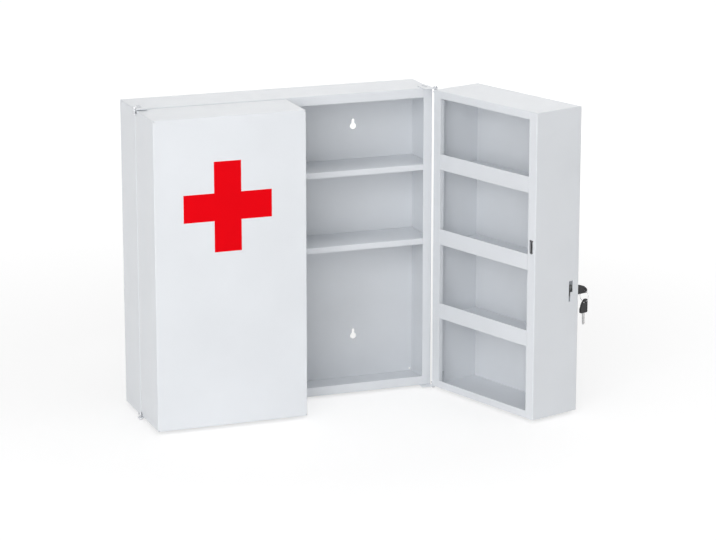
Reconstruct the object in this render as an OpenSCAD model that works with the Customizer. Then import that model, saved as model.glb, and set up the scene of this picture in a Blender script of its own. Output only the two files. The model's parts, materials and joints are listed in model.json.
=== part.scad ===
// Lockable two-door wall cabinet in folded sheet steel, in millimetres.
// The back stands on Y = 0, its middle is the origin, +Z is up and the doors face -Y.
// The right door is drawn closed and then swung open about its hinge pins.

/* [Cabinet] */
// Width of the body over its side walls
cab_w = 530; // [440:1:640]
// Height of the body
cab_h = 530; // [500:1:640]
// Depth of the body, from the wall to its front plane
body_d = 90; // [70:1:140]
// Depth of each door pan
door_d = 100; // [80:1:130]
// Thickness of the sheet steel
sheet_t = 1; // [0.8:0.1:1.5]
// Angle by which the right door stands open
right_open = 108; // [0:1:165]

/* [Body] */
// Width of the flange round the body's front opening
body_flange = 16; // [12:1:22]
// Height of the upper shelf's top above the cabinet's middle
upper_shelf_z = 131.5; // [110:0.5:170]
// Height of the lower shelf's top above the cabinet's middle
lower_shelf_z = 0; // [-40:0.5:10]
// Depth of the turned-down edges of a body shelf
shelf_edge_h = 10; // [6:1:16]
// Clearance between a shelf and the walls that it is welded between
shelf_fit = 0.2; // [0.1:0.05:0.5]
// Radius of the relief holes in the back's corners
relief_r = 1.5; // [1:0.1:2.5]
// Distance of the relief holes from the outer faces of the walls
relief_in = 4.7; // [4:0.1:8]

/* [Wall keyholes] */
// Distance between the left and right keyholes
keyhole_span_x = 306; // [240:1:380]
// Distance between the upper and lower keyholes
keyhole_span_z = 378; // [300:1:440]
// Radius of a keyhole's round entry, which a screw head passes
keyhole_r = 5.5; // [4.5:0.1:7]
// Width of the keyhole's slot above its entry
keyhole_slot_w = 5; // [4:0.1:7]
// Height of the slot's top above the centre of the entry
keyhole_rise = 13; // [11:0.5:20]

/* [Doors] */
// Gap between the body's front plane and a closed door
door_gap = 1.5; // [1:0.1:3]
// Gap between the two closed doors
centre_gap = 2; // [1.5:0.1:4]
// Drop of a door's top below the body's top
door_top_gap = 1.3; // [0.8:0.1:3]
// Rise of a door's underside above the body's underside
door_bottom_gap = 0.5; // [0.3:0.1:2]
// Width of a door pan's rear flanges at its two sides
side_flange = 18.5; // [17:0.5:24]
// Width of a door pan's rear flanges at top and bottom
end_flange = 13; // [9:0.5:18]
// Depth of the fold that stiffens the inner edge of a side flange
return_d = 8; // [5:0.5:12]
// Radius of the relief hole in the corners of a door's front
corner_relief_r = 0.9; // [0.4:0.1:1.2]
// Distance of that hole from the door's edges
corner_relief_in = 1.9; // [1.5:0.1:2.5]
// Height of the lowest door shelf's underside above the door's underside
first_shelf_h = 126; // [90:1:135]
// Distance from one door shelf to the next
shelf_pitch = 132.25; // [110:0.25:140]
// Height of the retaining lip on a door shelf
door_lip_h = 28; // [15:1:45]
// Depth of the turned-down weld edges of a door shelf
weld_edge_h = 10; // [6:1:14]
// Clearance between a door shelf and the pan
door_shelf_fit = 0.3; // [0.2:0.05:0.6]

/* [Cross] */
// Overall width and height of the cross on the left door
cross_size = 153; // [100:1:180]
// Width of the cross's arms
cross_arm = 47; // [30:1:60]
// Thickness of the film that the cross is cut from
cross_t = 0.2; // [0.1:0.05:0.4]
// Distance of the cross's centre from the hinge side of the door
cross_in = 126.5; // [100:0.5:150]
// Drop of the cross's centre below the door's top
cross_drop = 151.7; // [120:0.1:190]

/* [Hinges] */
// Distance of the hinge pins outside the side walls
pin_out = 2.5; // [2.4:0.05:4]
// Distance of the hinge pins in front of the body's front plane
pin_forward = 7; // [6.6:0.1:10]
// Radius of a hinge pin
pin_r = 1.6; // [1.2:0.1:1.8]
// Radius of the pin's shoulder between leaf and lug
shoulder_r = 2.3; // [2:0.05:2.35]
// Radius of the pin's head
pin_head_r = 3; // [2.4:0.1:4]
// Height of the pin's head
pin_head_h = 3; // [1.5:0.1:4]
// Radial clearance of the pin in the door's lug
pin_fit = 0.05; // [0.02:0.01:0.1]
// Thickness of the hinge leaf on the body
leaf_t = 1.5; // [1:0.1:2.5]
// Width of the hinge leaf on the body
leaf_w = 20; // [16:1:30]
// Length of the hinge leaf behind the body's front plane
leaf_back = 20; // [16:1:34]
// Radius of the hinge leaf's round end
leaf_end_r = 5; // [3.6:0.1:6]
// Thickness of the lug on the door
lug_t = 1.5; // [1:0.1:2]
// Radius of the lug's round end
lug_end_r = 4.2; // [3:0.1:4.8]
// Depth of the lug below the inside of the door's top
lug_drop = 3; // [2:0.5:8]
// Height of the lug's flange on the side wall
lug_flange_h = 18; // [10:1:30]
// Length of the lug's flange on the side wall
lug_flange_l = 24; // [14:1:40]
// Axial play between the lug and the pin's shoulder
lug_play = 0.1; // [0.05:0.05:0.3]
// Shank radius of the rivets
rivet_r = 1.5; // [1.2:0.1:2]
// Head radius of the rivets
rivet_head_r = 2.6; // [2.2:0.1:3.4]
// Head height of the rivets
rivet_head_h = 1; // [0.6:0.1:1.5]

/* [Magnetic catches] */
// Height of the catches above the lower shelf
catch_rise = 35; // [30:1:60]
// Distance of a catch's middle from the door's free edge
catch_in = 10.2; // [9.9:0.1:11]
// Width of the window in the door's flange
window_w = 9.2; // [8:0.1:11]
// Height of the window in the door's flange
window_h = 24; // [18:1:32]
// Width of the catch's case
case_w = 14; // [12:0.5:15]
// Height of the catch's case
case_h = 38; // [34:1:50]
// Depth of the catch's case
case_d = 13; // [10:1:20]
// Width over the magnet and its pole plates
pole_w = 8; // [6:0.5:9]
// Height of the magnet and its pole plates
pole_h = 18; // [12:1:18]
// Thickness of a pole plate
pole_t = 1.6; // [1:0.1:2.2]
// Distance of the pole faces behind the flange's outer face
pole_inset = 0.4; // [0.2:0.1:0.8]
// Clearance round the pieces in the case
case_fit = 0.1; // [0.05:0.05:0.3]
// Width of the strike plate on the lower shelf
strike_w = 44; // [36:1:60]
// Thickness of the strike plate
strike_t = 1.5; // [1:0.1:2]
// Length of the strike plate's foot
strike_foot = 21; // [16:1:40]
// Distance by which the strike stands out of the body's front plane
strike_proud = 1.2; // [1:0.1:1.2]

/* [Lock] */
// Distance of the lock's axis from the door's free edge
lock_in = 14; // [13.8:0.1:16]
// Drop of the lock's axis below the middle door shelf
lock_drop = 50.75; // [45:0.25:60]
// Radius of the lock's bezel
bezel_r = 10; // [9:0.5:12]
// Thickness of the lock's bezel
bezel_t = 2.5; // [1.5:0.5:4]
// Radius of the lock's barrel
barrel_r = 8; // [7.5:0.1:8.5]
// Length of the barrel behind the door's front
barrel_l = 17; // [15:0.5:17.5]
// Radius of the turning plug
plug_r = 5.5; // [5.2:0.1:6]
// Radial clearance of the plug in the barrel
plug_fit = 0.05; // [0.02:0.01:0.1]
// Width across the flats of the lock's nut
nut_af = 21; // [19:0.5:22]
// Thickness of the lock's nut
nut_t = 3; // [2:0.5:5]
// Thickness of the cam
cam_t = 2; // [1.5:0.1:2.4]
// Width of the cam's arm
cam_w = 12; // [10:0.5:12]
// Reach of the cam from the lock's axis
cam_reach = 25; // [24:0.5:25]
// Side of the square on the plug that drives the cam
drive_side = 6; // [5:0.1:6.5]
// Depth of the hook at the cam's tip
hook_h = 5; // [3:0.5:5]
// Number of wafers in the plug
wafer_count = 4; // [3:1:4]

/* [Keys] */
// Length of a key's bow
bow_l = 24; // [22:0.5:28]
// Width of a key's bow
bow_w = 16; // [14:0.5:18]
// Thickness of a key's bow
bow_t = 4; // [3.4:0.1:4.2]
// Distance of the bow from the door's front while the key is in the lock
bow_out = 8; // [6:0.5:9]
// Length of a key's blade outside its bow
blade_l = 21; // [20:0.5:23]
// Width of a key's blade
blade_w = 5; // [4:0.1:5.5]
// Thickness of a key's blade
blade_t = 2; // [1.6:0.1:2.2]
// Distance of the ring's slot from the bow's inner end
eye_at = 18.5; // [17:0.5:20]
// Length of the ring's slot
eye_l = 5.6; // [5:0.1:6.4]
// Width of the ring's slot
eye_w = 2.6; // [2.2:0.1:3]
// Radius of the key ring, to the middle of its wire
ring_r = 10.4; // [9:0.1:14]
// Radius of the ring's wire
wire_r = 0.65; // [0.5:0.05:0.8]

/* [Hidden] */
$fn = 48;

eps = 0.01;                                  // overlap of cuts past a surface
half_w = cab_w / 2;
half_h = cab_h / 2;
front_y = -body_d;                           // the body's front plane
pin_x = half_w + pin_out;
pin_y = front_y - pin_forward;

// A door's outline when it is closed, for the door on the right
door_x0 = centre_gap / 2;                    // free edge
door_x1 = half_w;                            // hinge side
door_rear = front_y - door_gap;              // plane of the rear flanges
door_front = door_rear - door_d;             // face of the door
door_z0 = -half_h + door_bottom_gap;
door_z1 = half_h - door_top_gap;
middle_shelf_z = door_z0 + first_shelf_h + shelf_pitch;  // underside
cross_z = door_z1 - cross_drop;
catch_z = lower_shelf_z + catch_rise;
mouth_x0 = door_x0 + side_flange;
mouth_x1 = door_x1 - side_flange;

// The lugs and the pins
lug_top_z = door_z1 - sheet_t - lug_drop;
lug_low_z = door_z0 + sheet_t + lug_drop;
slit_fit = 0.2;                              // gap round a lug in its slit
pin_below = 2.5;                             // pin beyond the lug
fixed_fit = 0.02;                            // gap of a pin or rivet fixed in a plate
leaf_rivet_gap = leaf_back - 8;              // distance between the rivets of a leaf

// The lock, along its axis from the door's face
lock_x = door_x0 + lock_in;
lock_z = middle_shelf_z - lock_drop;
cam_gap = 2;                                 // barrel's end to cam
cam_y0 = door_front + barrel_l + cam_gap;
cam_y1 = cam_y0 + cam_t;
plug_front = door_front - bezel_t - 0.3;
blade_tip_y = door_front - bow_out + blade_l;
key_clear = 0.15;                            // gap round the blade in the keyway
hook_in = centre_gap + lock_in + sheet_t + 1;  // axis to the hook's inner side
cam_slot_low = 13;                           // slot below and above the lock's axis
cam_slot_high = 23;
cam_slot_step = 3;                           // where the slot gets wider
cam_slot_fit = 1;                            // gap beside the cam
cam_slot_wide = 9;

wafer_h = plug_r * 1.7;                      // a wafer's height, inside the plug
wafer_w = blade_t + 2.6;
wafer_t = 1;
wafer_pitch = 3;
first_wafer = 2;                             // behind the door's face
wafer_fit = 0.1;
screw_r = 1.9;                               // the screw that holds the cam
screw_l = 5;
screw_head_r = 3.8;
screw_head_h = 2.2;
screw_slot_w = 1;
screw_slot_d = 0.8;

// The keys
bow_corner_r = 2;
shank_in = 12;                               // length of the blade inside the bow
collar_l = 5;                                // full-width stretch next to the bow
cut_depths = [1.1, 0.5, 1.4, 0.8, 1.2];      // notches of the key, from its shoulder
cut_pitch = 3;
cut_half = 1.4;                              // half a notch's width at the edge
cut_floor = 0.3;                             // and at its floor
blade_point = 2;                             // length of the blade's pointed end

// The ring in the slots of the two bows
wire_drop = ring_r - sqrt(ring_r * ring_r - bow_t * bow_t / 4);
wire_seat = wire_r + wire_drop + 0.15;       // slot's edge to the middle of the wire
eye_v = -1.5;                                // slot's centre across the bow
eye_low = eye_v - eye_l / 2;
bow_base_y = door_front - bow_out;
ring_y = bow_base_y - eye_at;
ring_top_z = lock_z + eye_low + wire_seat;
ring_z = ring_top_z - ring_r;
spare_z = ring_z - ring_r + wire_seat - (eye_at + eye_w / 2);  // the spare bow's base
spare_shift = 1;                             // spare bow's axis to the wire

white = "#e6e9ed";
steel = "#b9bcc0";
zinc = "#9aa0a4";
black = "#1c1c1f";

// A block between two corners
module slab(x0, x1, y0, y1, z0, z1) {
    translate([x0, y0, z0]) cube([x1 - x0, y1 - y0, z1 - z0]);
}

// A round bar along Y from y0 to y1
module bar_y(x, z, r, y0, y1) {
    translate([x, y1, z]) rotate([90, 0, 0]) cylinder(r = r, h = y1 - y0);
}

// Places its children for the right door as it stands
module swung() {
    translate([pin_x, pin_y, 0]) rotate([0, 0, right_open])
        translate([-pin_x, -pin_y, 0]) children();
}

// Repeats its children at the four hinge corners, as drawn for the upper right
module four_corners() {
    for (s = [0, 1], e = [0, 1]) mirror([s, 0, 0]) mirror([0, 0, e]) children();
}

// ---- body ----

// Round entry with a narrower slot above it, through the back
module keyhole() {
    bar_y(0, 0, keyhole_r, -sheet_t - eps, eps);
    bar_y(0, keyhole_rise - keyhole_slot_w / 2, keyhole_slot_w / 2, -sheet_t - eps, eps);
    slab(-keyhole_slot_w / 2, keyhole_slot_w / 2, -sheet_t - eps, eps,
        0, keyhole_rise - keyhole_slot_w / 2);
}

// Back, four walls and front flanges, folded from one sheet
module body_tray() {
    color(white) difference() {
        slab(-half_w, half_w, front_y, 0, -half_h, half_h);
        slab(-half_w + sheet_t, half_w - sheet_t, front_y + sheet_t, -sheet_t,
            -half_h + sheet_t, half_h - sheet_t);
        slab(-half_w + body_flange, half_w - body_flange, front_y - eps,
            front_y + sheet_t + eps, -half_h + body_flange, half_h - body_flange);
        for (sx = [-1, 1], sz = [-1, 1]) {
            translate([sx * keyhole_span_x / 2, 0, sz * keyhole_span_z / 2]) keyhole();
            bar_y(sx * (half_w - relief_in), sz * (half_h - relief_in), relief_r,
                -sheet_t - eps, eps);
        }
        four_corners() leaf_rivets_at() translate([0, 0, half_h - sheet_t - eps])
            cylinder(r = rivet_r + fixed_fit, h = sheet_t + 2 * eps);
    }
}

// A shelf with turned-down edges on all four sides
module body_shelf(top_z) {
    x = half_w - sheet_t - shelf_fit;
    y0 = front_y + sheet_t + shelf_fit;
    y1 = -sheet_t - shelf_fit;
    difference() {
        slab(-x, x, y0, y1, top_z - shelf_edge_h, top_z);
        slab(-x + sheet_t, x - sheet_t, y0 + sheet_t, y1 - sheet_t,
            top_z - shelf_edge_h - eps, top_z - sheet_t);
    }
}

module upper_shelf() {
    color(white) body_shelf(upper_shelf_z);
}

module lower_shelf() {
    color(white) difference() {
        body_shelf(lower_shelf_z);
        strike_rivets_at() translate([0, 0, -sheet_t - eps])
            cylinder(r = rivet_r + fixed_fit, h = sheet_t + 2 * eps);
    }
}

// ---- hinges ----

module leaf_rivets_at() {
    for (back = [6, 6 + leaf_rivet_gap])
        translate([half_w - leaf_w / 2, front_y + back, 0]) children();
}

// Flat leaf on the body's outside, with a round end over the pin
module hinge_leaf() {
    difference() {
        union() {
            slab(half_w - leaf_w, half_w - 0.5, pin_y - leaf_end_r, front_y + leaf_back,
                half_h, half_h + leaf_t);
            slab(half_w - 1, pin_x, pin_y - leaf_end_r, pin_y + leaf_end_r,
                half_h, half_h + leaf_t);
            translate([pin_x, pin_y, half_h]) cylinder(r = leaf_end_r, h = leaf_t);
        }
        translate([pin_x, pin_y, half_h - eps])
            cylinder(r = pin_r + fixed_fit, h = leaf_t + 2 * eps);
        leaf_rivets_at() translate([0, 0, half_h - eps])
            cylinder(r = rivet_r + fixed_fit, h = leaf_t + 2 * eps);
    }
}

module body_hinge_leaves() {
    color(white) four_corners() hinge_leaf();
}

module hinge_rivets() {
    color(steel) four_corners() leaf_rivets_at() {
        translate([0, 0, half_h - sheet_t - rivet_head_h])
            cylinder(r = rivet_head_r, h = rivet_head_h);
        translate([0, 0, half_h - sheet_t - eps])
            cylinder(r = rivet_r, h = sheet_t + leaf_t + 2 * eps);
        translate([0, 0, half_h + leaf_t]) cylinder(r = rivet_head_r, h = rivet_head_h);
    }
}

// Headed pin with a shoulder that keeps the lug off the leaf
module hinge_pin(lug_z, lug_face) {
    translate([pin_x, pin_y, 0]) {
        translate([0, 0, half_h + leaf_t]) cylinder(r = pin_head_r, h = pin_head_h);
        translate([0, 0, lug_z - lug_t - pin_below])
            cylinder(r = pin_r, h = half_h + leaf_t + eps - (lug_z - lug_t - pin_below));
        translate([0, 0, lug_face]) cylinder(r = shoulder_r, h = half_h - lug_face);
    }
}

module hinge_pins() {
    color(steel) for (s = [0, 1]) mirror([s, 0, 0]) {
        hinge_pin(lug_top_z, lug_top_z + lug_play);
        mirror([0, 0, 1]) hinge_pin(-lug_low_z, -lug_low_z + lug_play);
    }
}

// Angle lug: a flange on the side wall and a tongue that leaves through a slit
module door_lug(top_z) {
    inner_x = door_x1 - sheet_t;
    rear_y = pin_y + lug_end_r;
    difference() {
        union() {
            slab(inner_x - lug_t, pin_x, pin_y - lug_end_r, rear_y, top_z - lug_t, top_z);
            translate([pin_x, pin_y, top_z - lug_t]) cylinder(r = lug_end_r, h = lug_t);
            slab(inner_x - lug_t, inner_x - eps, rear_y - lug_flange_l, rear_y,
                top_z - lug_flange_h, top_z);
        }
        translate([pin_x, pin_y, top_z - lug_t - eps])
            cylinder(r = pin_r + pin_fit, h = lug_t + 2 * eps);
    }
}

module door_lugs() {
    color(steel) {
        door_lug(lug_top_z);
        mirror([0, 0, 1]) door_lug(-lug_low_z);
    }
}

// ---- doors, drawn closed on the right ----

// Window of a catch, with the corners at its lower end rounded
module catch_window() {
    slab(door_x0 + catch_in - window_w / 2, door_x0 + catch_in + window_w / 2,
        door_rear - sheet_t - eps, door_rear + eps,
        catch_z - window_h / 2 + window_w / 2, catch_z + window_h / 2);
    bar_y(door_x0 + catch_in, catch_z - window_h / 2 + window_w / 2, window_w / 2,
        door_rear - sheet_t - eps, door_rear + eps);
}

// Front, four walls, rear flanges and the folds along the side flanges
module door_pan() {
    difference() {
        slab(door_x0, door_x1, door_front, door_rear, door_z0, door_z1);
        slab(door_x0 + sheet_t, door_x1 - sheet_t, door_front + sheet_t,
            door_rear - sheet_t, door_z0 + sheet_t, door_z1 - sheet_t);
        slab(mouth_x0, mouth_x1, door_rear - sheet_t - eps, door_rear + eps,
            door_z0 + end_flange, door_z1 - end_flange);
        for (x = [door_x0 + corner_relief_in, door_x1 - corner_relief_in],
            z = [door_z0 + corner_relief_in, door_z1 - corner_relief_in])
            bar_y(x, z, corner_relief_r, door_front - eps, door_front + sheet_t + eps);
        for (z = [lug_top_z - lug_t / 2, lug_low_z + lug_t / 2])
            slab(door_x1 - sheet_t - eps, door_x1 + eps,
                pin_y - lug_end_r - slit_fit, pin_y + lug_end_r + slit_fit,
                z - lug_t / 2 - slit_fit, z + lug_t / 2 + slit_fit);
        catch_window();
    }
    for (x = [mouth_x0 - sheet_t, mouth_x1])
        slab(x, x + sheet_t, door_rear - return_d, door_rear - eps,
            door_z0 + sheet_t, door_z1 - sheet_t);
}

// A shelf with a tall lip at its open side and weld edges on the walls
module door_shelf(index) {
    z = door_z0 + first_shelf_h + index * shelf_pitch;
    x0 = door_x0 + sheet_t + door_shelf_fit;
    x1 = door_x1 - sheet_t - door_shelf_fit;
    lip_x0 = mouth_x0 + door_shelf_fit;
    lip_x1 = mouth_x1 - door_shelf_fit;
    y0 = door_front + sheet_t + door_shelf_fit;
    y1 = door_rear - return_d - door_shelf_fit;
    slab(x0, x1, y0, y1, z, z + sheet_t);
    slab(lip_x0, lip_x1, y1 - eps, door_rear, z, z + sheet_t);
    slab(lip_x0, lip_x1, door_rear - sheet_t, door_rear, z, z + door_lip_h);
    for (x = [x0, x1 - sheet_t])
        slab(x, x + sheet_t, y0, y1, z - weld_edge_h, z + eps);
}

// Plastic case of a magnetic catch, open towards the window
module catch_case() {
    x = door_x0 + catch_in;
    y1 = door_rear - sheet_t - case_fit;
    difference() {
        slab(door_x0 + sheet_t + case_fit, door_x0 + sheet_t + case_fit + case_w,
            y1 - case_d, y1, catch_z - case_h / 2, catch_z + case_h / 2);
        slab(x - pole_w / 2 - case_fit, x + pole_w / 2 + case_fit,
            y1 - case_d + sheet_t, y1 + eps,
            catch_z - pole_h / 2 - case_fit, catch_z + pole_h / 2 + case_fit);
    }
}

module catch_poles() {
    x = door_x0 + catch_in;
    for (x0 = [x - pole_w / 2, x + pole_w / 2 - pole_t])
        slab(x0, x0 + pole_t, door_rear - sheet_t - case_d + sheet_t + case_fit,
            door_rear - pole_inset, catch_z - pole_h / 2, catch_z + pole_h / 2);
}

module catch_magnet() {
    x = door_x0 + catch_in;
    half = pole_w / 2 - pole_t - fixed_fit;
    slab(x - half, x + half, door_rear - sheet_t - case_d + sheet_t + case_fit,
        door_rear - pole_inset - 1, catch_z - pole_h / 2, catch_z + pole_h / 2);
}

// Folded strike on the lower shelf, which both catches meet
module strike_rivets_at() {
    for (sx = [-1, 1])
        translate([sx * strike_w / 4, front_y - strike_proud + strike_foot * 2 / 3, lower_shelf_z])
            children();
}

module strike_plate() {
    y0 = front_y - strike_proud;
    color(steel) difference() {
        union() {
            slab(-strike_w / 2, strike_w / 2, y0, y0 + strike_foot,
                lower_shelf_z, lower_shelf_z + strike_t);
            slab(-strike_w / 2, strike_w / 2, y0, y0 + strike_t,
                lower_shelf_z, catch_z + window_h / 2 + 2);
        }
        strike_rivets_at() translate([0, 0, -eps])
            cylinder(r = rivet_r + fixed_fit, h = strike_t + 2 * eps);
    }
}

module strike_rivets() {
    color(steel) strike_rivets_at() {
        translate([0, 0, -sheet_t - rivet_head_h]) cylinder(r = rivet_head_r, h = rivet_head_h);
        translate([0, 0, -sheet_t - eps]) cylinder(r = rivet_r, h = sheet_t + strike_t + 2 * eps);
        translate([0, 0, strike_t]) cylinder(r = rivet_head_r, h = rivet_head_h);
    }
}

// ---- left door ----

module left_door_pan() {
    color(white) mirror([1, 0, 0]) difference() {
        door_pan();
        // Slot that the right door's cam enters
        slab(door_x0 - eps, door_x0 + sheet_t + eps, cam_y0 - cam_slot_fit * 2,
            cam_y1 + cam_slot_fit * 2, lock_z - cam_w / 2 - 2, lock_z + cam_slot_high - 2);
    }
}

module left_door_lugs() { mirror([1, 0, 0]) door_lugs(); }
module left_shelf_top() { color(white) mirror([1, 0, 0]) door_shelf(2); }
module left_shelf_middle() { color(white) mirror([1, 0, 0]) door_shelf(1); }
module left_shelf_bottom() { color(white) mirror([1, 0, 0]) door_shelf(0); }
module left_catch_case() { color(white) mirror([1, 0, 0]) catch_case(); }
module left_catch_poles() { color(steel) mirror([1, 0, 0]) catch_poles(); }
module left_catch_magnet() { color(black) mirror([1, 0, 0]) catch_magnet(); }

// Plain equal-armed cross, cut from film
module cross_sign() {
    half = cross_size / 2;
    arm = cross_arm / 2;
    color("#e0001b") translate([-half_w + cross_in, 0, cross_z]) {
        slab(-half, half, door_front - cross_t, door_front, -arm, arm);
        slab(-arm, arm, door_front - cross_t, door_front, -half, half);
    }
}

// ---- right door ----

module right_door_pan() {
    color(white) swung() difference() {
        door_pan();
        bar_y(lock_x, lock_z, barrel_r + plug_fit, door_front - eps, door_front + sheet_t + eps);
        // Slot for the cam: narrow beside the cam, wider above
        slab(door_x0 - eps, door_x0 + sheet_t + eps, cam_y0 - cam_slot_fit,
            cam_y1 + cam_slot_fit, lock_z - cam_slot_low, lock_z + cam_slot_high);
        slab(door_x0 - eps, door_x0 + sheet_t + eps, cam_y1 + cam_slot_fit - cam_slot_wide,
            cam_y1 + cam_slot_fit, lock_z + cam_slot_step, lock_z + cam_slot_high);
    }
}

module right_door_lugs() { swung() door_lugs(); }
module right_shelf_top() { color(white) swung() door_shelf(2); }
module right_shelf_middle() { color(white) swung() door_shelf(1); }
module right_shelf_bottom() { color(white) swung() door_shelf(0); }
module right_catch_case() { color(white) swung() catch_case(); }
module right_catch_poles() { color(steel) swung() catch_poles(); }
module right_catch_magnet() { color(black) swung() catch_magnet(); }

// ---- lock ----

// Bezel on the door's face and barrel through it
module lock_barrel() {
    color(zinc) swung() difference() {
        union() {
            bar_y(lock_x, lock_z, bezel_r, door_front - bezel_t, door_front);
            bar_y(lock_x, lock_z, barrel_r, door_front - eps, door_front + barrel_l);
        }
        bar_y(lock_x, lock_z, plug_r + plug_fit, door_front - bezel_t - eps,
            door_front + barrel_l + eps);
    }
}

module lock_nut() {
    y0 = door_front + sheet_t;
    color(zinc) swung() difference() {
        translate([lock_x, y0 + nut_t, lock_z]) rotate([90, 0, 0])
            cylinder(r = nut_af / sqrt(3), h = nut_t, $fn = 6);
        bar_y(lock_x, lock_z, barrel_r + plug_fit, y0 - eps, y0 + nut_t + eps);
    }
}

module wafers_at() {
    for (i = [0 : wafer_count - 1])
        translate([lock_x, door_front + first_wafer + i * wafer_pitch, lock_z]) children();
}

module wafer_block(w, t, h) {
    translate([-w / 2, -t / 2, -h / 2]) cube([w, t, h]);
}

// Turning plug with its keyway, its wafer slots and the square for the cam
module lock_plug() {
    plug_end = door_front + barrel_l + cam_gap;
    color(steel) swung() difference() {
        union() {
            bar_y(lock_x, lock_z, plug_r, plug_front, plug_end);
            translate([lock_x - drive_side / 2, plug_end - eps, lock_z - drive_side / 2])
                cube([drive_side, cam_t + eps, drive_side]);
        }
        slab(lock_x - blade_t / 2 - key_clear, lock_x + blade_t / 2 + key_clear,
            plug_front - eps, blade_tip_y + 0.5,
            lock_z - blade_w / 2 - key_clear, lock_z + blade_w / 2 + key_clear);
        wafers_at() wafer_block(wafer_w + 2 * wafer_fit, wafer_t + 2 * wafer_fit,
            wafer_h + 2 * wafer_fit);
        bar_y(lock_x, lock_z, screw_r + fixed_fit, cam_y1 - screw_l, cam_y1 + eps);
    }
}

module lock_wafers() {
    color("#b99a55") swung() wafers_at() difference() {
        wafer_block(wafer_w, wafer_t, wafer_h);
        wafer_block(blade_t + 4 * wafer_fit, wafer_t + 2 * eps, blade_w + 4 * wafer_fit);
    }
}

// Hooked cam behind the barrel, drawn pointing up, its hook towards the free edge
module lock_cam() {
    color(steel) swung() translate([lock_x, cam_y1, lock_z]) rotate([90, 0, 0])
        difference() {
            linear_extrude(cam_t) difference() {
                union() {
                    circle(r = cam_w / 2 + 1.5);
                    intersection() {
                        circle(r = cam_reach);
                        union() {
                            translate([-cam_w / 2, 0]) square([cam_w, cam_reach]);
                            translate([-cam_w / 2 - hook_h, hook_in])
                                square([cam_w / 2 + hook_h, cam_reach - hook_in]);
                        }
                    }
                }
                square(drive_side + 0.1, center = true);
            }
        }
}

module cam_screw() {
    color(zinc) swung() difference() {
        union() {
            bar_y(lock_x, lock_z, screw_head_r, cam_y1, cam_y1 + screw_head_h);
            bar_y(lock_x, lock_z, screw_r, cam_y1 - screw_l + 0.3, cam_y1 + eps);
        }
        slab(lock_x - screw_head_r, lock_x + screw_head_r,
            cam_y1 + screw_head_h - screw_slot_d, cam_y1 + screw_head_h + eps,
            lock_z - screw_slot_w / 2, lock_z + screw_slot_w / 2);
    }
}

// ---- keys, drawn in their own plane: u along the key away from the blade, v across ----

// A polygon with its corners rounded to radius r
function fillet(p, i, r, steps) =
    let (n = len(p), a = p[(i + n - 1) % n], b = p[i], c = p[(i + 1) % n],
        u = (a - b) / norm(a - b), w = (c - b) / norm(c - b),
        half = acos(u * w) / 2,
        mid = (u + w) / norm(u + w),
        centre = b + mid * r / sin(half),
        t0 = b + u * r / tan(half) - centre, t1 = b + w * r / tan(half) - centre)
    [for (k = [0 : steps]) let (d = t0 * (1 - k / steps) + t1 * k / steps)
        centre + d / norm(d) * r];

function rounded(p, r, steps) = [for (i = [0 : len(p) - 1]) each fillet(p, i, r, steps)];

// Outline of a bow, with one shoulder that slopes down to the tip
bow_points = [[0, -bow_w / 2], [bow_l, -bow_w / 2], [bow_l, -bow_w / 10],
    [bow_l * 0.72, bow_w * 0.28], [bow_l * 0.3, bow_w / 2], [0, bow_w / 2]];

module shank_outline(grow) {
    translate([-grow, -blade_w / 2 - grow]) square([shank_in + 2 * grow, blade_w + 2 * grow]);
}

module bow_solid() {
    difference() {
        linear_extrude(bow_t, center = true) difference() {
            polygon(rounded(bow_points, bow_corner_r, 5));
            for (s = [-1, 1]) translate([eye_at, eye_v + s * (eye_l - eye_w) / 2])
                circle(d = eye_w);
            translate([eye_at - eye_w / 2, eye_v - (eye_l - eye_w) / 2])
                square([eye_w, eye_l - eye_w]);
        }
        linear_extrude(blade_t + 2 * fixed_fit, center = true) shank_outline(fixed_fit);
    }
}

module blade_solid() {
    linear_extrude(blade_t, center = true) difference() {
        polygon([[shank_in, -blade_w / 2], [shank_in, blade_w / 2],
            [blade_point - blade_l, blade_w / 2], [-blade_l, blade_w / 8],
            [-blade_l, -blade_w / 8], [blade_point - blade_l, -blade_w / 2]]);
        for (i = [0 : len(cut_depths) - 1]) {
            u = -collar_l - cut_half - i * cut_pitch;
            floor_v = blade_w / 2 - cut_depths[i];
            polygon([[u - cut_half, blade_w / 2 + eps], [u - cut_floor, floor_v],
                [u + cut_floor, floor_v], [u + cut_half, blade_w / 2 + eps]]);
        }
    }
}

// The key in the lock: u points out of the door, v up
module in_lock() {
    swung() translate([lock_x, bow_base_y, lock_z]) rotate([90, 0, -90]) children();
}

// The spare key hanging on the ring: u points up, v towards the door
module on_ring() {
    swung() translate([lock_x, ring_y + spare_shift, spare_z]) rotate([0, -90, 0]) children();
}

module key_blade() { color(steel) in_lock() blade_solid(); }
module key_bow() { color(black) in_lock() bow_solid(); }
module spare_key_blade() { color(steel) on_ring() blade_solid(); }
module spare_key_bow() { color(black) on_ring() bow_solid(); }

module key_ring() {
    color(steel) swung() translate([lock_x, ring_y, ring_z]) rotate([90, 0, 0])
        rotate_extrude() translate([ring_r, 0]) circle(r = wire_r, $fn = 24);
}

body_tray();
upper_shelf();
lower_shelf();
body_hinge_leaves();
hinge_rivets();
hinge_pins();
strike_plate();
strike_rivets();
left_door_pan();
left_door_lugs();
left_shelf_top();
left_shelf_middle();
left_shelf_bottom();
left_catch_case();
left_catch_poles();
left_catch_magnet();
cross_sign();
right_door_pan();
right_door_lugs();
right_shelf_top();
right_shelf_middle();
right_shelf_bottom();
right_catch_case();
right_catch_poles();
right_catch_magnet();
lock_barrel();
lock_nut();
lock_plug();
lock_wafers();
lock_cam();
cam_screw();
key_blade();
key_bow();
key_ring();
spare_key_blade();
spare_key_bow();
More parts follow.
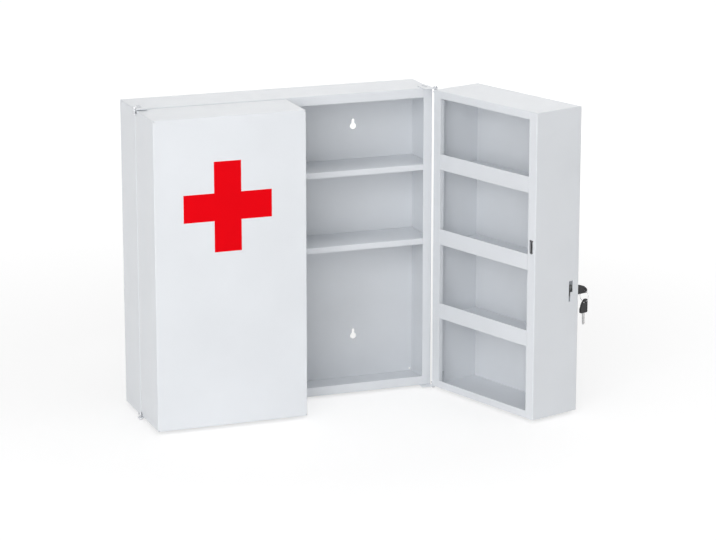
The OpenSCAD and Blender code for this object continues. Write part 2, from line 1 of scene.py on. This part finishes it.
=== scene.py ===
# A lockable wall cabinet in powder-coated sheet steel. Lengths are in metres, the wall is
# the plane Y = 0, the doors face -Y and +Z is up.
import json
import math

import bpy
from mathutils import Matrix, Vector

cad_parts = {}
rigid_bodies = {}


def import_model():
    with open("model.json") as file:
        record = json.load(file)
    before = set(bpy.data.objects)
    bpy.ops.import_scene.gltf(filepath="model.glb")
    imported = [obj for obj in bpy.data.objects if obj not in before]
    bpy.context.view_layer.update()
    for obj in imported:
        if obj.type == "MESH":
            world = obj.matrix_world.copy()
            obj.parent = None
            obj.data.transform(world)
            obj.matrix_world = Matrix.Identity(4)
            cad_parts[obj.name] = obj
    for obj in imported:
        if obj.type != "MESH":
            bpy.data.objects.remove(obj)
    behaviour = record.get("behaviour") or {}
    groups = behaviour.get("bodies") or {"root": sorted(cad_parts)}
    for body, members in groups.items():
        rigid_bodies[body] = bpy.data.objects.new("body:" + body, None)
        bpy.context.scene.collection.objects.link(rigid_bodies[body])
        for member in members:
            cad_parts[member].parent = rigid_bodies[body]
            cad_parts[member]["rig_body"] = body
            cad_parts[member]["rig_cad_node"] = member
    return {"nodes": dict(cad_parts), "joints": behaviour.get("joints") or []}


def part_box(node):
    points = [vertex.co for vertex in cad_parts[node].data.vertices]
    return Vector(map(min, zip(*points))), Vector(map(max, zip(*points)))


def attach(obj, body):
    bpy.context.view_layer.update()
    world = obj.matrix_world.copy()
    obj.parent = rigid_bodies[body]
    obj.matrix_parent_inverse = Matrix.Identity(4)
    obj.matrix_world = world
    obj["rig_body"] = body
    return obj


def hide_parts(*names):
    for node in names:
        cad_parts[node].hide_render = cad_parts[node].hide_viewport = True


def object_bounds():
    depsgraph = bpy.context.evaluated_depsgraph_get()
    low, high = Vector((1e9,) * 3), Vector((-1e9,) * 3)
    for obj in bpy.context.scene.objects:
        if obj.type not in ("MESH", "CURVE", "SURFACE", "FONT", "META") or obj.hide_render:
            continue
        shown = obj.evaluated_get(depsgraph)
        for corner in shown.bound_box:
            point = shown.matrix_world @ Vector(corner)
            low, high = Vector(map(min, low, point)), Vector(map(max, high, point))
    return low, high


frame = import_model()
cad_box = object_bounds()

# ---- View ----
# The cabinet is seen from its left and from a little above, with a long lens from afar.
# The place and the angles were fitted to the corners of the body, the doors and the flanges.
picture_width = 716                      # pixels
view_place = (-1.552, -4.559, 1.191)
view_yaw = math.radians(20.61)           # turned from +Y towards +X
view_pitch = math.radians(14.52)         # looking down
focal_length = 2858                      # pixels

bpy.ops.object.camera_add(
    location=view_place, rotation=(math.pi / 2 - view_pitch, 0, -view_yaw)
)
camera = bpy.context.object
camera.data.sensor_width = 36
camera.data.lens = camera.data.sensor_width * focal_length / picture_width
bpy.context.scene.camera = camera

# ---- Body ----
# The body is one sheet of steel, folded into a back, four walls and a flange round the
# opening, and coated with satin white powder. The flange's corners are butt joints.
fold_radius = 0.0015                     # outside of a fold
coat_radius = 0.00022                    # cut edges, as the coat rounds them
hole_near_wall = 0.0012                  # holes closer than this keep their sharp edges
hole_near_fold = 0.0031
seam_width = 0.0003                      # groove where two flanges meet
seam_depth = 0.0003
seam_in = 0.00012                        # from the line of the opening's side
body_flange = 0.016
coat_white = (0.815, 0.840, 0.872)
same = 0.00001                           # two heights or depths are one within this
same_point = 0.000001
same_plane = math.radians(0.5)


def new_material(name, roughness, metallic=0.0):
    """A material with its principled shader, and the tree that it stands in."""
    material = bpy.data.materials.new(name)
    material.use_nodes = True
    tree = material.node_tree
    shader = tree.nodes["Principled BSDF"]
    shader.inputs["Roughness"].default_value = roughness
    shader.inputs["Metallic"].default_value = metallic
    return material, tree, shader


def noise(tree, scale, detail=3.0, stretch=(1, 1, 1)):
    """Noise on the object's coordinates, drawn out along one of them if asked."""
    place = tree.nodes.new("ShaderNodeTexCoord")
    mapping = tree.nodes.new("ShaderNodeMapping")
    mapping.inputs["Scale"].default_value = stretch
    texture = tree.nodes.new("ShaderNodeTexNoise")
    texture.inputs["Scale"].default_value = scale
    texture.inputs["Detail"].default_value = detail
    tree.links.new(place.outputs["Object"], mapping.inputs["Vector"])
    tree.links.new(mapping.outputs["Vector"], texture.inputs["Vector"])
    return texture.outputs["Fac"]


def spread(tree, factor, low, high, to, start=0.3, end=0.7):
    """Leads a noise to a shader's input, between two values or two colours."""
    ramp = tree.nodes.new("ShaderNodeValToRGB")
    ramp.color_ramp.elements[0].position = start
    ramp.color_ramp.elements[1].position = end
    for element, value in zip(ramp.color_ramp.elements, (low, high)):
        element.color = (*value, 1) if isinstance(value, tuple) else (value,) * 3 + (1,)
    tree.links.new(factor, ramp.inputs["Fac"])
    tree.links.new(ramp.outputs["Color"], to)


def relief(tree, shader, height, strength, depth):
    """Raises a noise above the surface by a depth in metres."""
    bump = tree.nodes.new("ShaderNodeBump")
    bump.inputs["Strength"].default_value = strength
    bump.inputs["Distance"].default_value = depth
    tree.links.new(height, bump.inputs["Height"])
    tree.links.new(bump.outputs["Normal"], shader.inputs["Normal"])


def shade(colour, share):
    """A colour made darker or lighter by a share."""
    return tuple(c * share for c in colour)


def powder_coat(name, colour):
    """Satin powder: an even colour with a fine orange peel and faint clouds in its gloss."""
    material, tree, shader = new_material(name, 0.34)
    shader.inputs["Specular IOR Level"].default_value = 0.3
    spread(tree, noise(tree, 9), shade(colour, 0.975), shade(colour, 1.01),
           shader.inputs["Base Color"])
    spread(tree, noise(tree, 60, 4), 0.30, 0.38, shader.inputs["Roughness"])
    relief(tree, shader, noise(tree, 900, 2), 0.25, 0.00004)
    return material


white_coat = powder_coat("white_coat", coat_white)


def dress(piece, node, material):
    """Gives a piece its material and its body, in place of a node."""
    piece.data.materials.clear()
    piece.data.materials.append(material)
    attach(piece, frame["nodes"][node]["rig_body"])
    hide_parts(node)


def select_only(piece):
    bpy.ops.object.select_all(action="DESELECT")
    piece.select_set(True)
    bpy.context.view_layer.objects.active = piece


def merged_copy(node):
    """A copy of a node's mesh with its triangles joined into whole faces."""
    select_only(frame["nodes"][node])
    bpy.ops.object.duplicate()
    piece = bpy.context.object
    piece.name = node + "_finished"
    piece.parent = None
    del piece["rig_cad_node"]
    bpy.ops.mesh.customdata_custom_splitnormals_clear()
    bpy.ops.object.mode_set(mode="EDIT")
    bpy.ops.mesh.select_all(action="SELECT")
    bpy.ops.mesh.remove_doubles(threshold=same_point)
    bpy.ops.mesh.dissolve_limited(angle_limit=same_plane)
    bpy.ops.mesh.select_all(action="DESELECT")
    bpy.ops.object.mode_set(mode="OBJECT")
    return piece


def block(low, high, own=Matrix.Identity(4)):
    """A solid box between two corners in a piece's own frame."""
    bpy.ops.object.select_all(action="DESELECT")
    bpy.ops.mesh.primitive_cube_add(size=1, location=(Vector(low) + Vector(high)) / 2)
    solid = bpy.context.object
    solid.scale = Vector(high) - Vector(low)
    bpy.ops.object.transform_apply()
    solid.matrix_world = own.inverted()
    return solid


def carve(piece, tool, how="DIFFERENCE"):
    """Cuts a piece with a tool, which is used up."""
    cut = piece.modifiers.new("cut", "BOOLEAN")
    cut.operation = how
    cut.object = tool
    select_only(piece)
    bpy.ops.object.modifier_apply(modifier="cut")
    bpy.data.objects.remove(tool)


def round_edges(piece, radius, segments=2, sharper_than=40):
    """Rounds all edges that are sharper than an angle in degrees."""
    bevel = piece.modifiers.new("edges", "BEVEL")
    bevel.width = radius
    bevel.segments = segments
    bevel.limit_method = "ANGLE"
    bevel.angle_limit = math.radians(sharper_than)
    bevel.use_clamp_overlap = False
    select_only(piece)
    bpy.ops.object.modifier_apply(modifier="edges")


def round_folds(piece, low, high, radius, own=Matrix.Identity(4)):
    """Rounds the outside of a folded box by trimming it to a box with round edges."""
    room = Vector((same, same, same))    # keeps the flat faces off each other
    shape = block(low - room, high + room)
    round_edges(shape, radius, 5)
    shape.matrix_world = own.inverted()
    carve(piece, shape, "INTERSECT")


def bevel_where(piece, chosen, radius, segments, own=Matrix.Identity(4)):
    """Rounds the sharp edges whose two ends, in the piece's own frame, pass a test."""
    select_only(piece)
    bpy.ops.object.mode_set(mode="EDIT")
    bpy.ops.mesh.select_mode(type="EDGE")
    bpy.ops.mesh.select_all(action="DESELECT")
    bpy.ops.mesh.edges_select_sharp(sharpness=math.radians(40))
    bpy.ops.object.mode_set(mode="OBJECT")
    places = [own @ v.co for v in piece.data.vertices]
    rims = [e.index for e in piece.data.edges
            if e.select and chosen(*(places[i] for i in e.vertices))]
    bpy.ops.object.mode_set(mode="EDIT")
    bpy.ops.mesh.select_all(action="DESELECT")
    bpy.ops.object.mode_set(mode="OBJECT")
    for index in rims:
        piece.data.edges[index].select = True
    bpy.ops.object.mode_set(mode="EDIT")
    bpy.ops.mesh.bevel(offset=radius, segments=segments, affect="EDGES", clamp_overlap=False)
    bpy.ops.mesh.select_all(action="DESELECT")
    bpy.ops.object.mode_set(mode="OBJECT")


def round_cut_edges(piece, low, high, radius, own=Matrix.Identity(4)):
    """Rounds the sheet's cut edges, apart from holes that are close to a fold."""
    def by_fold(point):
        near = [min(abs(point[i] - low[i]), abs(point[i] - high[i])) for i in range(3)]
        return near[0] < hole_near_wall or sorted(near)[1] < hole_near_fold

    bevel_where(piece, lambda a, b: not (by_fold(a) or by_fold(b)), radius, 2, own)


def smooth(piece, angle=40):
    """Shades the rounded edges smooth and keeps the flat faces flat."""
    select_only(piece)
    bpy.ops.object.shade_smooth_by_angle(angle=math.radians(angle))
    flat = piece.modifiers.new("flat_faces", "WEIGHTED_NORMAL")
    flat.keep_sharp = True
    flat.weight = 100
    bpy.ops.object.modifier_apply(modifier="flat_faces")


def groove_seams(piece, low, high, side, end, mouth_y, own=Matrix.Identity(4)):
    """Grooves the butt joints at the four corners of a flange of given widths."""
    past = 0.0005                        # cut beyond the flange's inner edge
    for x in (low.x + side + seam_in, high.x - side - seam_in - seam_width):
        for z0, z1 in ((low.z + fold_radius, low.z + end + past),
                       (high.z - end - past, high.z - fold_radius)):
            carve(piece, block((x, mouth_y - seam_depth, z0),
                               (x + seam_width, mouth_y + seam_depth, z1), own))


body_low, body_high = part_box("body_tray")
body = merged_copy("body_tray")
round_folds(body, body_low, body_high, fold_radius)
round_cut_edges(body, body_low, body_high, coat_radius)
groove_seams(body, body_low, body_high, body_flange, body_flange, body_low.y)
smooth(body)
dress(body, "body_tray", white_coat)

# ---- Body shelves ----
# Two shelves of the same steel and coat, with their edges turned down on all four sides,
# welded between the walls and the back.
past_edges = Vector((0, 0, 0.01))        # their lower rims aren't folds

for node in ("upper_shelf", "lower_shelf"):
    low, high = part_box(node)
    shelf = merged_copy(node)
    round_folds(shelf, low - past_edges, high, fold_radius)
    round_cut_edges(shelf, low, high, coat_radius)
    smooth(shelf)
    dress(shelf, node, white_coat)

# ---- Hinges ----
# Four flat leaves are riveted to the outside of the body and coated with it. A bright
# headed pin in each carries the zinc-plated lug of a door.
zinc_colour = (0.70, 0.71, 0.73)
leaf_edge = 0.00035
rivet_edge = 0.00075                     # domes the head
pin_edge = 0.0005
stamped_edge = 0.0003                    # lugs, nut, cam and screw


def worn_metal(name, colour, roughness, grain=220, stretch=(1, 1, 1), metallic=1.0):
    """Bare or plated metal: a colour, a fine grain in its gloss and faint stains."""
    material, tree, shader = new_material(name, roughness, metallic)
    spread(tree, noise(tree, 120, 4), shade(colour, 0.82), shade(colour, 1.06),
           shader.inputs["Base Color"])
    spread(tree, noise(tree, grain, 5, stretch), roughness * 0.75, roughness * 1.3,
           shader.inputs["Roughness"])
    relief(tree, shader, noise(tree, grain * 8, 2, stretch), 0.2, 0.00002)
    return material


zinc = worn_metal("zinc_plating", zinc_colour, 0.34)
coated_rivet = powder_coat("rivet_coat", shade(coat_white, 0.97))


def eased(node, material, radius, segments=2, cuts=()):
    """A node's copy, cut with some tools and with its edges rounded, dressed in its place."""
    piece = merged_copy(node)
    for tool in cuts:
        carve(piece, tool)
    round_edges(piece, radius, segments)
    smooth(piece)
    dress(piece, node, material)
    return piece


eased("body_hinge_leaves", white_coat, leaf_edge)
eased("hinge_rivets", coated_rivet, rivet_edge, 4)
eased("hinge_pins", zinc, pin_edge, 3)
for node in ("left_door_lugs", "right_door_lugs"):
    eased(node, zinc, stamped_edge)

# ---- Strike plate ----
# A folded strip of zinc-plated steel on the lower shelf, held by two rivets. The magnets
# of both doors meet it.
strike_edge = 0.0004
eased("strike_plate", zinc, strike_edge)
eased("strike_rivets", coated_rivet, rivet_edge, 4)

# ---- Door pans ----
# Each door is a pan folded from one sheet: the face, four walls and a flange round the
# rear, with the flange's long edges folded in once more to stiffen them.
hinge = next(j for j in frame["joints"] if j["name"] == "right_door_hinge")
swing = math.radians(-hinge["range_deg"][0])
pin = Matrix.Translation(Vector(hinge["pos_m"]))
closed_right = pin @ Matrix.Rotation(-swing, 4, "Z") @ pin.inverted()
as_drawn = Matrix.Identity(4)
own_frame = {"left": as_drawn, "right": closed_right}


def own_box(piece, own):
    """The corners of a piece's box in its own frame."""
    points = [own @ v.co for v in piece.data.vertices]
    return [Vector([f(p[i] for p in points) for i in range(3)]) for f in (min, max)]


side_flange = 0.0185
end_flange = 0.013
for side, own in own_frame.items():
    node = side + "_door_pan"
    pan = merged_copy(node)
    low, high = own_box(pan, own)
    round_folds(pan, low, high, fold_radius, own)
    round_cut_edges(pan, low, high, coat_radius, own)
    groove_seams(pan, low, high, side_flange, end_flange, high.y, own)
    smooth(pan)
    dress(pan, node, white_coat)

# ---- Door shelves ----
# Three trays in each door, with a tall lip that keeps small packs in when the door swings.
# Their sides are turned down and welded to the pan's walls.
weld_edge = 0.010                        # depth of the turned-down sides
sheet = 0.001


def at_fold(low, high):
    """A test for the outer edges of a shelf's three folds."""
    plate_low, plate_high = low.z + weld_edge, low.z + weld_edge + sheet

    def lip_fold(point):
        return abs(point.y - high.y) < same and abs(point.z - plate_low) < same

    def side_fold(point):
        at_side = min(abs(point.x - low.x), abs(point.x - high.x)) < same
        return at_side and abs(point.z - plate_high) < same

    return lambda a, b: (lip_fold(a) and lip_fold(b)) or (side_fold(a) and side_fold(b))


for side, own in own_frame.items():
    for level in ("top", "middle", "bottom"):
        node = side + "_shelf_" + level
        shelf = merged_copy(node)
        bevel_where(shelf, at_fold(*own_box(shelf, own)), fold_radius, 5, own)
        round_edges(shelf, coat_radius)
        smooth(shelf)
        dress(shelf, node, white_coat)

# ---- Magnetic catches ----
# A moulded case behind a window in each door's flange holds a magnet between two plates.
# The plates meet the strike and hold the door shut.
case_edge = 0.0006
pole_edge = 0.0002


def moulded(name, colour, roughness):
    """Moulded plastic with a fine grain."""
    material, tree, shader = new_material(name, roughness)
    spread(tree, noise(tree, 40), shade(colour, 0.9), shade(colour, 1.05),
           shader.inputs["Base Color"])
    spread(tree, noise(tree, 300, 4), roughness * 0.85, roughness * 1.15,
           shader.inputs["Roughness"])
    relief(tree, shader, noise(tree, 2500, 2), 0.3, 0.00003)
    return material


# The case is dark grey. This is partly its own colour, for the black spot at the window's foot,
# and partly painted shade, for the dark line along the window's top.
catch_plastic = moulded("catch_plastic", (0.15, 0.153, 0.158), 0.5)
pole_steel = worn_metal("pole_steel", (0.72, 0.73, 0.75), 0.45)
ferrite = moulded("ferrite", (0.16, 0.16, 0.165), 0.6)
for side in own_frame:
    eased(side + "_catch_case", catch_plastic, case_edge, 3)
    eased(side + "_catch_poles", pole_steel, pole_edge)
    eased(side + "_catch_magnet", ferrite, pole_edge)

# ---- Cross ----
# A plain cross with arms of equal length, cut from red film and stuck to the left door.
film_red = (0.855, 0.0008, 0.006)
film_edge = 0.00008
film, film_tree, film_shader = new_material("red_film", 0.5)
film_shader.inputs["Specular IOR Level"].default_value = 0.04
spread(film_tree, noise(film_tree, 14), shade(film_red, 0.97), shade(film_red, 1.01),
       film_shader.inputs["Base Color"])
spread(film_tree, noise(film_tree, 200, 4), 0.44, 0.56, film_shader.inputs["Roughness"])
relief(film_tree, film_shader, noise(film_tree, 700, 2), 0.15, 0.00003)
eased("cross_sign", film, film_edge)

# ---- Lock ----
# A cam lock in the right door: a nickel-plated bezel and barrel held by a nut, a plug with
# brass wafers, and a hooked cam on a screw that reaches into the left door.
nickel = worn_metal("bright_nickel", (0.66, 0.65, 0.62), 0.16)
plug_nickel = worn_metal("plug_nickel", (0.62, 0.61, 0.59), 0.22)
brass = worn_metal("wafer_brass", (0.62, 0.44, 0.17), 0.35)
bezel_thickness = 0.0025
bezel_step = 0.002                       # bezel's radius over the barrel's
bezel_edge = 0.0004
plug_edge = 0.00012
wafer_edge = 0.0001
thread_pitch = 0.001
thread_depth = 0.0005
thread_section = 0.0005                  # from the middle of the cut's triangle to a corner
turn_steps = 32
along_y = Matrix.Rotation(-math.pi / 2, 4, "X")


def coil(corners, size, radius, pitch, turns, place):
    """A bar wound about an axis, its section a polygon with one corner turned inwards."""
    bpy.ops.object.select_all(action="DESELECT")
    bpy.ops.mesh.primitive_circle_add(
        vertices=corners, radius=size, location=(radius, 0, -pitch * turns / 2),
        rotation=(math.pi / 2, -math.pi / 2, 0),
    )
    bar = bpy.context.object
    bpy.ops.object.transform_apply()
    winding = bar.modifiers.new("winding", "SCREW")
    winding.axis = "Z"
    winding.angle = math.tau * turns
    winding.screw_offset = pitch * turns
    winding.steps = winding.render_steps = round(turn_steps * turns)
    bpy.ops.object.modifier_apply(modifier="winding")
    bpy.ops.object.mode_set(mode="EDIT")
    bpy.ops.mesh.select_all(action="SELECT")
    bpy.ops.mesh.fill_holes(sides=corners)
    bpy.ops.mesh.normals_make_consistent(inside=False)
    bpy.ops.mesh.select_all(action="DESELECT")
    bpy.ops.object.mode_set(mode="OBJECT")
    bar.matrix_world = place
    return bar


low, high = own_box(frame["nodes"]["lock_barrel"], closed_right)
middle = (low + high) / 2
thread_start = low.y + bezel_thickness + sheet
thread_length = high.y + thread_pitch - thread_start
middle.y = thread_start + thread_length / 2
thread = coil(3, thread_section, (high.z - low.z) / 2 - bezel_step - thread_depth
              + thread_section, thread_pitch, thread_length / thread_pitch,
              closed_right.inverted() @ Matrix.Translation(middle) @ along_y)
barrel = merged_copy("lock_barrel")
round_edges(barrel, bezel_edge, 3)
carve(barrel, thread)
smooth(barrel, 30)
dress(barrel, "lock_barrel", nickel)
eased("lock_nut", nickel, stamped_edge)
eased("lock_plug", plug_nickel, plug_edge)
eased("lock_wafers", brass, wafer_edge)
eased("lock_cam", zinc, stamped_edge)
eased("cam_screw", zinc, stamped_edge)

# ---- Keys and ring ----
# Two keys with moulded black bows on flat nickel-plated blades, joined by a split ring of
# bright wire. One is in the lock, and the other hangs from the ring.
key_steel = worn_metal("key_steel", (0.60, 0.60, 0.60), 0.26, grain=300)
bow_plastic = moulded("bow_plastic", (0.018, 0.018, 0.02), 0.38)
ring_steel = worn_metal("ring_steel", (0.62, 0.62, 0.63), 0.14)
blade_edge = 0.0001
bow_edge = 0.0005
pocket_depth = 0.0004
pocket_corner = 0.0015
pocket_along = (0.0025, 0.014)           # from the bow's inner end
pocket_across = (0.0022, 0.0116)         # from the bow's straight side
groove_depth = 0.00045
groove_along = (-0.0005, 0.020)          # from the blade's tip
groove_across = (0.0011, 0.0025)         # from the blade's straight edge


def both_sides(low, high, depth, along, across):
    """Tools that sink a shape into the two flat sides of a piece in the plane of its lock."""
    tools = []
    for x0, x1 in ((low.x - depth, low.x + depth), (high.x - depth, high.x + depth)):
        tools.append(block((x0, along[0], across[0]), (x1, along[1], across[1]), closed_right))
    return tools


def laid(low, high, hangs, along, across):
    """Places a shape's two spans, on the key in the lock or on the one that hangs."""
    if hangs:
        return ([low.y + a for a in across], [low.z + a for a in along])
    return (sorted(high.y - a for a in along), [low.z + a for a in across])


for key in ("", "spare_"):
    low, high = own_box(frame["nodes"][key + "key_blade"], closed_right)
    grooves = both_sides(low, high, groove_depth,
                         *laid(low, high, bool(key), groove_along, groove_across))
    eased(key + "key_blade", key_steel, blade_edge, 2, grooves)

    node = key + "key_bow"
    bow = merged_copy(node)
    low, high = own_box(bow, closed_right)
    round_edges(bow, bow_edge, 3)
    for pocket in both_sides(low, high, pocket_depth,
                             *laid(low, high, bool(key), pocket_along, pocket_across)):
        bevel_where(pocket, lambda a, b: abs(a.x - b.x) > same, pocket_corner, 4)
        carve(bow, pocket)
    round_edges(bow, coat_radius)
    smooth(bow)
    dress(bow, node, bow_plastic)

wire_radius = 0.00033
wire_pitch = 0.00068
wire_turns = 1.93                        # the ends stop short of each other
wire_end_edge = 0.0001
low, high = own_box(frame["nodes"]["key_ring"], closed_right)
inside = (high.z - low.z) / 2 - (high.y - low.y)
facing = Matrix.Rotation(math.pi, 4, "Z")
ring = coil(12, wire_radius, inside + wire_radius, wire_pitch, wire_turns,
            closed_right.inverted() @ Matrix.Translation((low + high) / 2) @ along_y @ facing)
ring.name = "key_ring_finished"
bpy.ops.object.transform_apply()
round_edges(ring, wire_end_edge)
smooth(ring)
dress(ring, "key_ring", ring_steel)

# ---- Light, floor and backdrop ----
# A white room with large soft lamps: a strong one in front on the left, weaker ones on both
# sides, above and behind, and a pale floor that keeps the cabinet's shadow.
room_light = 0.31
lamp_distance = 3.8
lamp_size = 2.4
lamps = {                                # degrees left of the front and up, and watts
    "front": (30, 20, 54),
    "left": (60, 15, 21),
    "right": (-40, 15, 7),
    "above": (-20, 75, 35),
    "back": (-150, 6, 16),
}
scene = bpy.context.scene
world = bpy.data.worlds.new("studio")
scene.world = world
world.use_nodes = True
world_tree = world.node_tree
background = world_tree.nodes["Background"]
background.inputs["Color"].default_value = (1, 1, 1, 1)


def seen(tree):
    """One where a ray comes from the camera, a gloss or a glass, and zero elsewhere."""
    path = tree.nodes.new("ShaderNodeLightPath")
    total = path.outputs["Is Camera Ray"]
    for ray in ("Is Glossy Ray", "Is Transmission Ray"):
        add = tree.nodes.new("ShaderNodeMath")
        add.operation = "MAXIMUM"
        tree.links.new(total, add.inputs[0])
        tree.links.new(path.outputs[ray], add.inputs[1])
        total = add.outputs[0]
    return total


strength = world_tree.nodes.new("ShaderNodeMapRange")
strength.inputs["To Min"].default_value = room_light
strength.inputs["To Max"].default_value = 1.0
world_tree.links.new(seen(world_tree), strength.inputs["Value"])
world_tree.links.new(strength.outputs["Result"], background.inputs["Strength"])

for name, (left, up, watts) in lamps.items():
    left, up = math.radians(left), math.radians(up)
    aim = Vector((-math.sin(left) * math.cos(up), -math.cos(left) * math.cos(up), math.sin(up)))
    bpy.ops.object.light_add(type="AREA", location=aim * lamp_distance)
    lamp = bpy.context.object
    lamp.name = name + "_lamp"
    lamp.data.size = lamp_size
    lamp.data.energy = watts
    lamp.rotation_euler = aim.to_track_quat("Z", "Y").to_euler()

floor_size = 12
floor_gap = 0.0005                       # under the cabinet
floor_colour = (0.9, 0.9, 0.9)
floor_glow = (1.26, 1.65)                # white, and brighter where the lamps don't reach
floor_glow_reach = (0.5, 2.0)            # metres from the cabinet
floor_glow_share = 0.5
bpy.ops.mesh.primitive_plane_add(size=floor_size, location=(0, 0, cad_box[0].z - floor_gap))
floor = bpy.context.object
floor.name = "floor"
floor_paint, floor_tree, floor_shader = new_material("floor_paint", 0.7)
floor_shader.inputs["Base Color"].default_value = (*floor_colour, 1)
glow = floor_tree.nodes.new("ShaderNodeEmission")
floor_place = floor_tree.nodes.new("ShaderNodeTexCoord")
reach = floor_tree.nodes.new("ShaderNodeVectorMath")
reach.operation = "LENGTH"
floor_tree.links.new(floor_place.outputs["Object"], reach.inputs[0])
fade = floor_tree.nodes.new("ShaderNodeMapRange")
fade.inputs["From Min"].default_value, fade.inputs["From Max"].default_value = floor_glow_reach
fade.inputs["To Min"].default_value, fade.inputs["To Max"].default_value = floor_glow
floor_tree.links.new(reach.outputs["Value"], fade.inputs["Value"])
floor_tree.links.new(fade.outputs["Result"], glow.inputs["Strength"])
mix = floor_tree.nodes.new("ShaderNodeMixShader")
share = floor_tree.nodes.new("ShaderNodeMapRange")
share.inputs["To Max"].default_value = floor_glow_share
floor_tree.links.new(seen(floor_tree), share.inputs["Value"])
floor_tree.links.new(share.outputs["Result"], mix.inputs["Fac"])
floor_tree.links.new(floor_shader.outputs["BSDF"], mix.inputs[1])
floor_tree.links.new(glow.outputs["Emission"], mix.inputs[2])
output = floor_tree.nodes["Material Output"]
floor_tree.links.new(mix.outputs["Shader"], output.inputs["Surface"])
floor.data.materials.append(floor_paint)

scene.view_settings.view_transform = "Standard"
